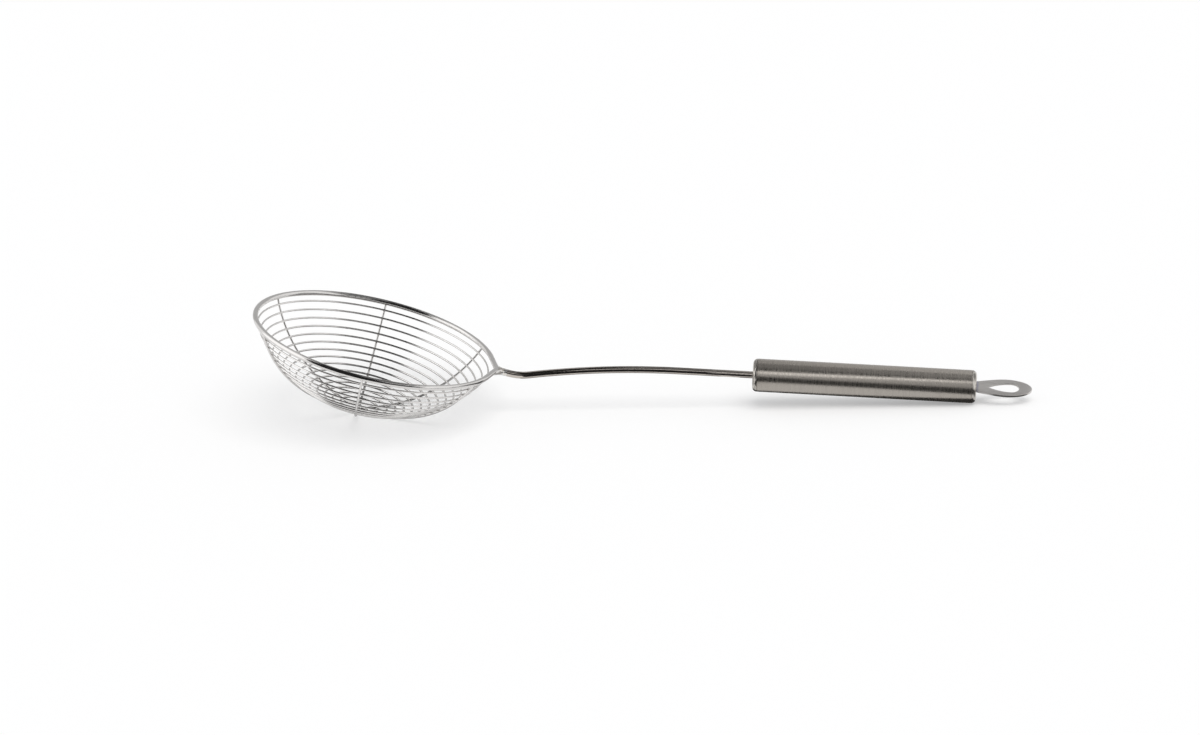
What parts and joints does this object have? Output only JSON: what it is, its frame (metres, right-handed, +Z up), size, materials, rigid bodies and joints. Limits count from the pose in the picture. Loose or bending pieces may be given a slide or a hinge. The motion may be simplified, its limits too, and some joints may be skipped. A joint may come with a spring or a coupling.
{
  "type": "strainer",
  "caption": "Hand strainer with a round wire basket of rings and bowed ribs, a bent rod shank and a hollow tube handle that ends in a flat hanging eyelet.",
  "frame": {"origin": "on the table the strainer lies on, under the middle of its box", "axes": "+X along the handle, from the basket to the eyelet; +Z up from the table"},
  "size_m": [0.3632, 0.1168, 0.0527],
  "materials": {
    "rim_wire": "polished",
    "ring_wire": "polished",
    "rib_wire": "polished",
    "shank_rod": "polished",
    "handle_tube": "brushed around",
    "cap": "polished",
    "eyelet": "satin"
  },
  "bodies": {
    "root": {"rim_wire": "rim_wire", "ring_01": "ring_wire", "ring_02": "ring_wire", "ring_03": "ring_wire", "ring_04": "ring_wire", "ring_05": "ring_wire", "ring_06": "ring_wire", "ring_07": "ring_wire", "ring_08": "ring_wire", "ring_09": "ring_wire", "ring_10": "ring_wire", "ring_11": "ring_wire", "ring_12": "ring_wire", "ring_13": "ring_wire", "ring_14": "ring_wire", "ring_15": "ring_wire", "rib_1": "rib_wire", "rib_2": "rib_wire", "rib_3": "rib_wire", "shank_rod": "shank_rod", "handle_tube": "handle_tube", "front_cap": "cap", "rear_cap": "cap", "hanging_eyelet": "eyelet"}
  },
  "joints": []
}
